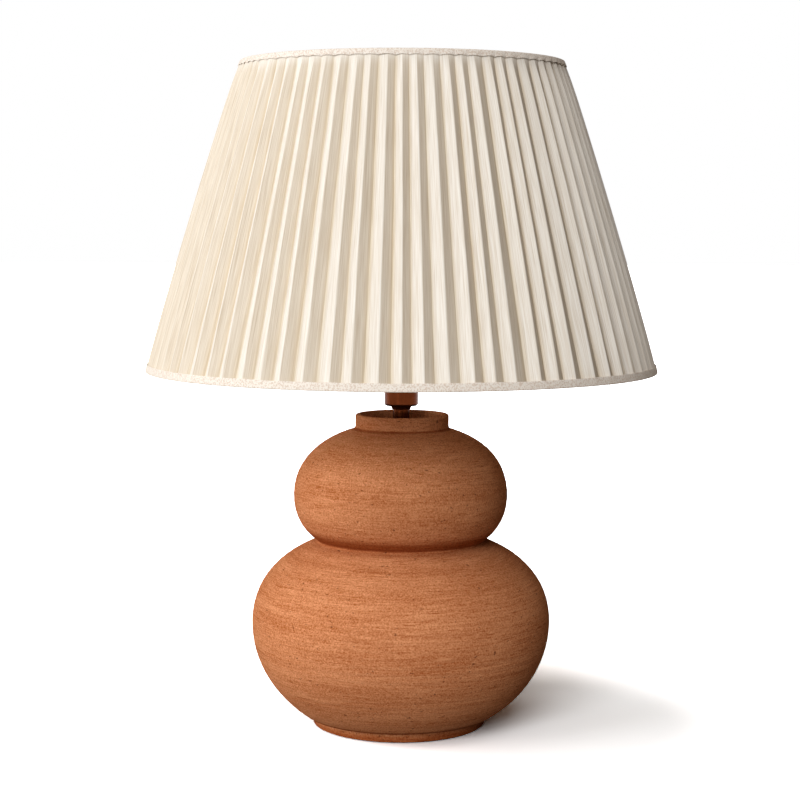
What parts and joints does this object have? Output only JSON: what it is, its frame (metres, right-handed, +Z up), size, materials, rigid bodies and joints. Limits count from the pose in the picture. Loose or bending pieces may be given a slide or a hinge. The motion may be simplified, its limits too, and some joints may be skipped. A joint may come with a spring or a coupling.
{
  "type": "gourd table lamp",
  "caption": "Table lamp with a double gourd terracotta body, bronze socket and a tapered pleated linen shade.",
  "frame": {"origin": "middle of the felt's underside, on the surface that the lamp stands on", "axes": "+Z up along the lamp's axis, -Y the front with the switch knob, +Y the back with the cord inlet"},
  "size_m": [0.5077, 0.5076, 0.6605],
  "materials": {
    "terracotta": "unglazed fired clay with fine throwing lines",
    "felt": "dense dark felt",
    "grommet": "dark moulded grommet",
    "steel": "zinc plated",
    "bronze": "dark bronze satin lacquer",
    "fibre": "pressed fibre",
    "phenolic": "moulded phenolic",
    "brass": "plain brass",
    "bulb_metal": "plated screw cap",
    "bulb_plastic": "white moulded housing",
    "bulb_glass": "frosted opal",
    "white_metal": "white coated wire",
    "liner": "smooth bonded lining",
    "linen": "natural linen in accordion pleats",
    "tape": "linen binding tape"
  },
  "bodies": {
    "base": {"gourd_body": "terracotta", "base_felt": "felt", "cord_grommet": "grommet", "bottom_plate": "steel", "lock_washer": "steel", "pipe_nut": "steel", "lamp_pipe": "steel", "neck_plate": "bronze", "neck_washer": "bronze", "stem_tube": "bronze", "stem_collar": "bronze", "set_screw": "steel", "socket_cap": "bronze", "socket_shell": "bronze", "socket_insulator": "fibre", "socket_core": "phenolic", "terminal_screws": "brass", "screw_shell": "brass", "centre_contact": "brass", "thread_sleeve": "phenolic"},
    "switch": {"switch_shaft": "brass", "switch_knob": "phenolic"},
    "bulb_foot": {"bulb_tip": "bulb_metal"},
    "bulb": {"bulb_insulator": "phenolic", "bulb_screw_cap": "bulb_metal", "bulb_housing": "bulb_plastic", "bulb_diffuser": "bulb_glass"},
    "lower_ring": {"support_ring": "bronze"},
    "shade": {"fitter_ring": "white_metal", "fitter_arms": "white_metal", "bottom_ring": "white_metal", "top_ring": "white_metal", "frame_ribs": "white_metal", "shade_liner": "liner", "pleated_cover": "linen", "bottom_binding": "tape", "top_binding": "tape"},
    "upper_ring": {"clamp_ring": "bronze"}
  },
  "joints": [
    {"name": "switch_turn", "type": "hinge", "parent": "base", "child": "switch", "pos_m": [0, -0.03, 0.3505], "axis": [0, -1, 0], "continuous": true},
    {"name": "bulb_rise", "type": "slide", "parent": "base", "child": "bulb_foot", "axis": [0, 0, 1], "range_m": [0, 0.01816]},
    {"name": "bulb_turn", "type": "hinge", "parent": "bulb_foot", "child": "bulb", "pos_m": [0, 0, 0.4], "axis": [0, 0, 1], "range_deg": [0, 1800]},
    {"name": "shade_turn", "type": "hinge", "parent": "base", "child": "lower_ring", "pos_m": [0, 0, 0.3645], "axis": [0, 0, 1], "continuous": true},
    {"name": "shade_lift", "type": "slide", "parent": "lower_ring", "child": "shade", "axis": [0, 0, 1], "range_m": [0, 0.15]},
    {"name": "clamp_turn", "type": "hinge", "parent": "shade", "child": "upper_ring", "pos_m": [0, 0, 0.3745], "axis": [0, 0, 1], "range_deg": [0, 1440]}
  ],
  "couplings": [
    {"joint": "bulb_rise", "follows": "bulb_turn", "m_per_rad": 0.00057751}
  ]
}
